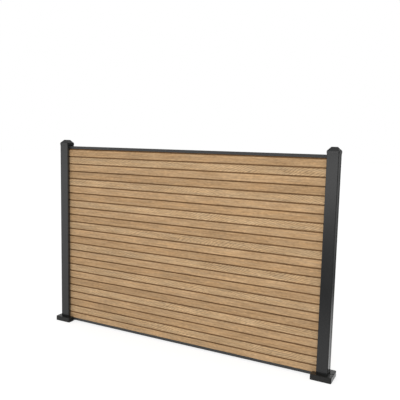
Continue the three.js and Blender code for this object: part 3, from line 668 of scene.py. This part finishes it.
# The figure: strokes aslant on the middle lamella, and nearly lengthwise lines on the others.
# Each grows over the first range of its pitch and ends over the second.
STROKE_PITCH = 0.025
STROKE_GROWS = (0.10, 0.84)
STROKE_ENDS = (0.84, 1.0)
STROKE_SLOPE = 0.9
STROKE_SLOPE_CHANGE = 2.2
STROKE_BEND = 0.13
STROKE_WAVER = 0.022
STROKE_LEVEL = 0.34  # taken off the strokes, so that they lighten the wood between them too
STROKED_AREAS = (0.36, 0.56)
FAINTEST_STROKE = 0.2
LINE_PITCH = 0.0066
LINE_GROWS = (0.3, 0.85)
LINE_ENDS = (0.85, 1.0)
LINE_SLOPE = 0.03
LINE_BEND = 0.02
LINE_STRENGTH = 0.4
FIGURE_STREAKS = 1.2  # how much the streaks change the figure's strength

# The tone: how much each pattern and the painted shade in the grooves change it, as a share of it.
LUCK_SPREAD = 0.07
CLOUD_SPREAD = 0.56
BAND_SPREAD = 0.86
STREAK_SPREAD = 0.56
FLECK_SPREAD = 0.80
PORE_CUT = (0.60, 0.72)
PORE_SHADE = 0.16
FIGURE_GROUND = 1.06
FIGURE_SHADE = 0.46
EDGE_BAND = (0.12, 0.36)  # from a lamella's middle line, as a share of its height
EDGE_LIFT = 0.035
PAINTED_SHADE_BAND = (0.05, 0.5)  # as a share of the groove's depth
PAINTED_SHADE_IN_GROOVE = 0.59


def spread(pattern, share):
    """A pattern that runs from 0 to 1, as a factor that lies evenly about 1."""
    return 1 - share / 2 + pattern * share


composite, place = new_finish("composite_oak")
parts = place.node("ShaderNodeSeparateXYZ", values={0: place})
along, deep, up = parts.side("X"), parts.side("Y"), parts.side("Z")
lamella = place.math("FLOOR", (up - INFILL_BOTTOM) / LAMELLA_PITCH)
board = place.math("FLOOR", (lamella + ROUNDING_GUARD) / LAMELLAE)
third = lamella - board * LAMELLAE
facing = place.math("SIGN", deep)
board_draw = board * BOARD_SEED[0] + BOARD_SEED[1]
draw = place.node("ShaderNodeCombineXYZ", values={0: board_draw, 1: facing * FACE_SEED})
chance = place.node("ShaderNodeTexWhiteNoise", {"noise_dimensions": "2D"}, {"Vector": draw})
lamella_draw = lamella * LAMELLA_SEED[0] + LAMELLA_SEED[1]
luck = place.node("ShaderNodeTexWhiteNoise", {"noise_dimensions": "1D"}, {"W": lamella_draw})

height = up - INFILL_BOTTOM - board * BOARD_HEIGHT
far = along + chance * BOARD_APART
across = facing * FACE_APART
grain_place = place.node("ShaderNodeCombineXYZ", values={0: far, 1: across, 2: height})
bend = noise(grain_place, (4.5, 1, 9), detail=2, seed=(3.0, 5.0, 0.0))
lean = noise(grain_place, (1.4, 1, 3), detail=1, seed=(9.0, 2.0, 0.0))
waver = noise(grain_place, (22, 1, 95), detail=2, seed=(1.0, 8.0, 0.0))
aslant = far - height * (STROKE_SLOPE + lean * STROKE_SLOPE_CHANGE)
aslant = aslant + bend * STROKE_BEND + waver * STROKE_WAVER
stroke = place.math("FRACT", aslant / STROKE_PITCH)
stroke = stroke.ramp(*STROKE_GROWS) * (1 - stroke.ramp(*STROKE_ENDS))
stroke = stroke * stroke
stroked = noise(grain_place, (2.6, 1, 0), detail=1, seed=(6.0, 4.0, 0.0))
stroked = stroked.ramp(*STROKED_AREAS)
lengthwise = place.math("FRACT", (height + far * LINE_SLOPE + bend * LINE_BEND) / LINE_PITCH)
line = lengthwise.ramp(*LINE_GROWS) * (1 - lengthwise.ramp(*LINE_ENDS))

# Slow clouds and bands, then streaks, pores, flecks and a blush, drawn out along each lamella.
shifted = far + third * LAMELLA_APART
lamella_place = place.node("ShaderNodeCombineXYZ", values={0: shifted, 1: across, 2: up})
cloud = noise(lamella_place, (2.4, 1, 22), detail=2)
band = noise(lamella_place, (7, 1, 110), detail=2, seed=(2.0, 4.0, 6.0))
streak = noise(lamella_place, (16, 1, 420), detail=3, roughness=0.6)
pore = noise(lamella_place, (45, 1, 1900), detail=1).ramp(*PORE_CUT)
fleck = noise(lamella_place, (42, 1, 150), detail=2, seed=(7.0, 3.0, 1.0))
blush = noise(lamella_place, (7, 1, 70), detail=3, seed=(4.0, 2.0, 9.0))

# The thirds of a board are 0, 1 and 2 from below.
upper = place.math("GREATER_THAN", third, 1.5)
lower = place.math("LESS_THAN", third, 0.5)
outer = upper + lower
strength = FAINTEST_STROKE + stroked * (1 - FAINTEST_STROKE)
figure = (1 - outer) * (stroke - STROKE_LEVEL) * strength + outer * line * LINE_STRENGTH
figure = figure * spread(streak, FIGURE_STREAKS)
inside = place.math("FRACT", (up - INFILL_BOTTOM) / LAMELLA_PITCH)
edge = place.math("ABSOLUTE", inside - 0.5).ramp(*EDGE_BAND)
tone = spread(luck, LUCK_SPREAD) * spread(cloud, CLOUD_SPREAD) * spread(band, BAND_SPREAD)
tone = tone * spread(streak, STREAK_SPREAD) * spread(fleck, FLECK_SPREAD)
tone = tone * (1 - pore * PORE_SHADE)
tone = tone * (FIGURE_GROUND - figure * FIGURE_SHADE) * (1 + edge * EDGE_LIFT)
# Painted shade: the tone darkens and the oak browns towards the floor of each groove between
# lamellae.
sunk = (FACE_DEPTH - place.math("ABSOLUTE", deep)) / GROOVE_DEPTH
groove = sunk.ramp(*PAINTED_SHADE_BAND)
tone = tone * (1 - groove * PAINTED_SHADE_IN_GROOVE)
oak = upper.mix(lower.mix(OAK_MIDDLE, OAK_LOW), OAK_TOP)
oak = blush.ramp(*BLUSH_AREAS, 0.0, BLUSH_MOST).mix(oak, OAK_BLUSH, "MULTIPLY")
oak = groove.mix(oak, OAK_PAINTED_SHADE_IN_GROOVE)
grey = place.node("ShaderNodeCombineColor", values={0: tone, 1: tone, 2: tone})
stained = place.node(
    "ShaderNodeMix",
    {"data_type": "RGBA", "blend_type": "MULTIPLY"},
    {0: 1.0, 6: oak, 7: grey},
    output=2,
)
finish_with(place, streak * 0.6 - figure * 0.3 - pore * 0.5, BOARD_RELIEF, {
    "Base Color": stained,
    "Roughness": 0.60 + streak * 0.16,
    "Specular IOR Level": 0.3,
})

lowest = refined(
    "board_1", "composite_board_1", composite, BOARD_LIP_RADIUS,
    lambda edge: runs_along(edge, 0) and is_sharp(edge),
)
stands_for(lowest, "board_1")
for count in range(1, BOARD_COUNT):
    lift = Matrix.Translation((0, 0, count * BOARD_HEIGHT))
    plank = copied(lowest, f"composite_board_{count + 1}", lift)
    stands_for(plank, f"board_{count + 1}")

# ------------------------------------------------------------------------------------------
# Top rail: an aluminium box section that sits on the top board's tongue, coated as the
# bottom rail is.

top_rail = refined(
    "top_rail", "top_rail_section", rail_coat, RAIL_LIP_RADIUS,
    lambda edge: runs_along(edge, 0) and is_sharp(edge),
)
stands_for(top_rail, "top_rail")

# ------------------------------------------------------------------------------------------
# Rail clips and their screws: folded stainless angles in the posts' slots that hold the top
# rail down, each with one pan-head screw into the slot's floor.

CLIP_EDGE_RADIUS = 0.0003
CLIP_SHORTEST = 0.0015  # edges shorter than this belong to the clip's bend and corners
CLIP_SCREW_PROFILE = (  # (radius, height), from the tip to the middle of the head
    (0.0, 0.0), (0.0009, 0.0), (0.0017, 0.0012), (0.0017, 0.0096),
    (0.0040, 0.0096), (0.0040, 0.0108), (0.0034, 0.0118), (0.0024, 0.0122), (0.0, 0.0122),
)
CLIP_SCREW_THREAD = (0.0016, 0.0020, 0.0014, 0.0084)
CLIP_SCREW_PITCH = 0.0007
CLIP_SCREW_SOCKET = (0.0015, 0.0014)

clip = refined(
    "rail_clip_left", "clip_angle_left", stainless, CLIP_EDGE_RADIUS,
    lambda edge: is_sharp(edge) and edge.calc_length() > CLIP_SHORTEST,
)
at_both_ends(clip, "rail_clip_left")

pattern = threaded(
    "clip_screw_pattern", CLIP_SCREW_PROFILE, CLIP_SCREW_THREAD, CLIP_SCREW_PITCH, CLIP_SCREW_SOCKET
)
pattern.data.materials.append(stainless)
smooth(pattern)
low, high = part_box("rail_clip_screw_left")
spot = Matrix.Translation((low.x, 0, (low.z + high.z) / 2))
lying = spot @ Matrix.Rotation(math.pi / 2, 4, "Y")
clip_screw = copied(pattern, "threaded_clip_screw_left", lying)
at_both_ends(clip_screw, "rail_clip_screw_left")
bpy.data.objects.remove(pattern)

# ------------------------------------------------------------------------------------------
# Slot cover strips: thin aluminium strips with hooked legs that snap into the outer slots.

STRIP_EDGE_RADIUS = 0.0004

strip = refined(
    "slot_cover_left", "slot_strip_left", powder_coat, STRIP_EDGE_RADIUS,
    lambda edge: runs_along(edge, 2) and is_sharp(edge),
)
at_both_ends(strip, "slot_cover_left")

# ------------------------------------------------------------------------------------------
# Post caps: moulded caps with four sloping sides and a small flat top, coated like the posts.

CAP_BOTTOM = 1.244
CAP_RIM_RADIUS = 0.0006

cap = refined(
    "post_cap_left", "cap_shell_left", powder_coat, CAP_RIM_RADIUS,
    lambda edge: is_sharp(edge) and all(abs(v.co.z - CAP_BOTTOM) < SAME_PLACE for v in edge.verts),
)
at_both_ends(cap, "post_cap_left")

# ------------------------------------------------------------------------------------------
# Base covers: moulded plastic, in two halves that clip together round the post's foot.

COVER_HALF = 0.0595
COVER_HEIGHT = 0.032
COVER_LIP_RADIUS = 0.0016
OUTER_MARGIN = 0.0019  # from an outer face of the cover, its inner faces lie farther in
JOINT_GAP = 0.0008  # the joint faces lie within this distance of the middle
JOINT_REACH = 0.0048  # from the middle of the joint to where the top begins to slope to it
JOINT_DEPTH = 0.0015
PLASTIC_DARK = (0.0125, 0.0125, 0.0118, 1.0)
PLASTIC_LIGHT = (0.0165, 0.0165, 0.0156, 1.0)
PLASTIC_GRAINS_PER_METRE = 900.0
PLASTIC_RELIEF = 0.00006

cover_plastic, place = new_finish("cover_plastic")
scale = {"Vector": place, "Scale": PLASTIC_GRAINS_PER_METRE}
grain = place.node("ShaderNodeTexVoronoi", values=scale)
flow = noise(place, (18, 18, 9), detail=3)
finish_with(place, grain, PLASTIC_RELIEF, {
    "Base Color": flow.mix(PLASTIC_DARK, PLASTIC_LIGHT),
    "Roughness": 0.20 + flow * 0.08,
    "Specular IOR Level": 0.46,
})


def on_cover_outside(edge):
    """Whether both ends of an edge of the left cover lie on its outer faces."""
    return all(
        max(abs(v.co.x + POST_MIDDLE), abs(v.co.y)) > COVER_HALF - OUTER_MARGIN
        or v.co.z > COVER_HEIGHT - OUTER_MARGIN
        for v in edge.verts
    )


def on_joint_top(edge):
    """Whether an edge is where a cover half's top ends at the joint between the halves."""
    return all(
        abs(v.co.y) < JOINT_GAP and v.co.z > COVER_HEIGHT - OUTER_MARGIN for v in edge.verts
    )


def sink_joint(piece):
    """Lets the top of a cover half slope down to the joint, as a shallow open groove."""
    for side in (-1, 1):
        bpy.ops.mesh.select_all(action="SELECT")
        bpy.ops.mesh.bisect(plane_co=(0, side * JOINT_REACH, 0), plane_no=(0, 1, 0))
    shape = bmesh.from_edit_mesh(piece.data)
    for corner in shape.verts:
        above = corner.co.z - (COVER_HEIGHT - OUTER_MARGIN)
        if abs(corner.co.y) < JOINT_GAP and above > 0:
            corner.co.z -= JOINT_DEPTH * above / OUTER_MARGIN
    for edge in shape.edges:
        if all(abs(abs(v.co.y) - JOINT_REACH) < SAME_PLACE for v in edge.verts):
            edge.smooth = False
    bmesh.update_edit_mesh(piece.data)


for face in ("front", "back"):
    cover = refined(
        f"base_cover_left_{face}", f"cover_half_left_{face}", cover_plastic, COVER_LIP_RADIUS,
        lambda edge: is_sharp(edge) and on_cover_outside(edge) and not on_joint_top(edge),
        reshape=sink_joint,
    )
    at_both_ends(cover, f"base_cover_left_{face}")
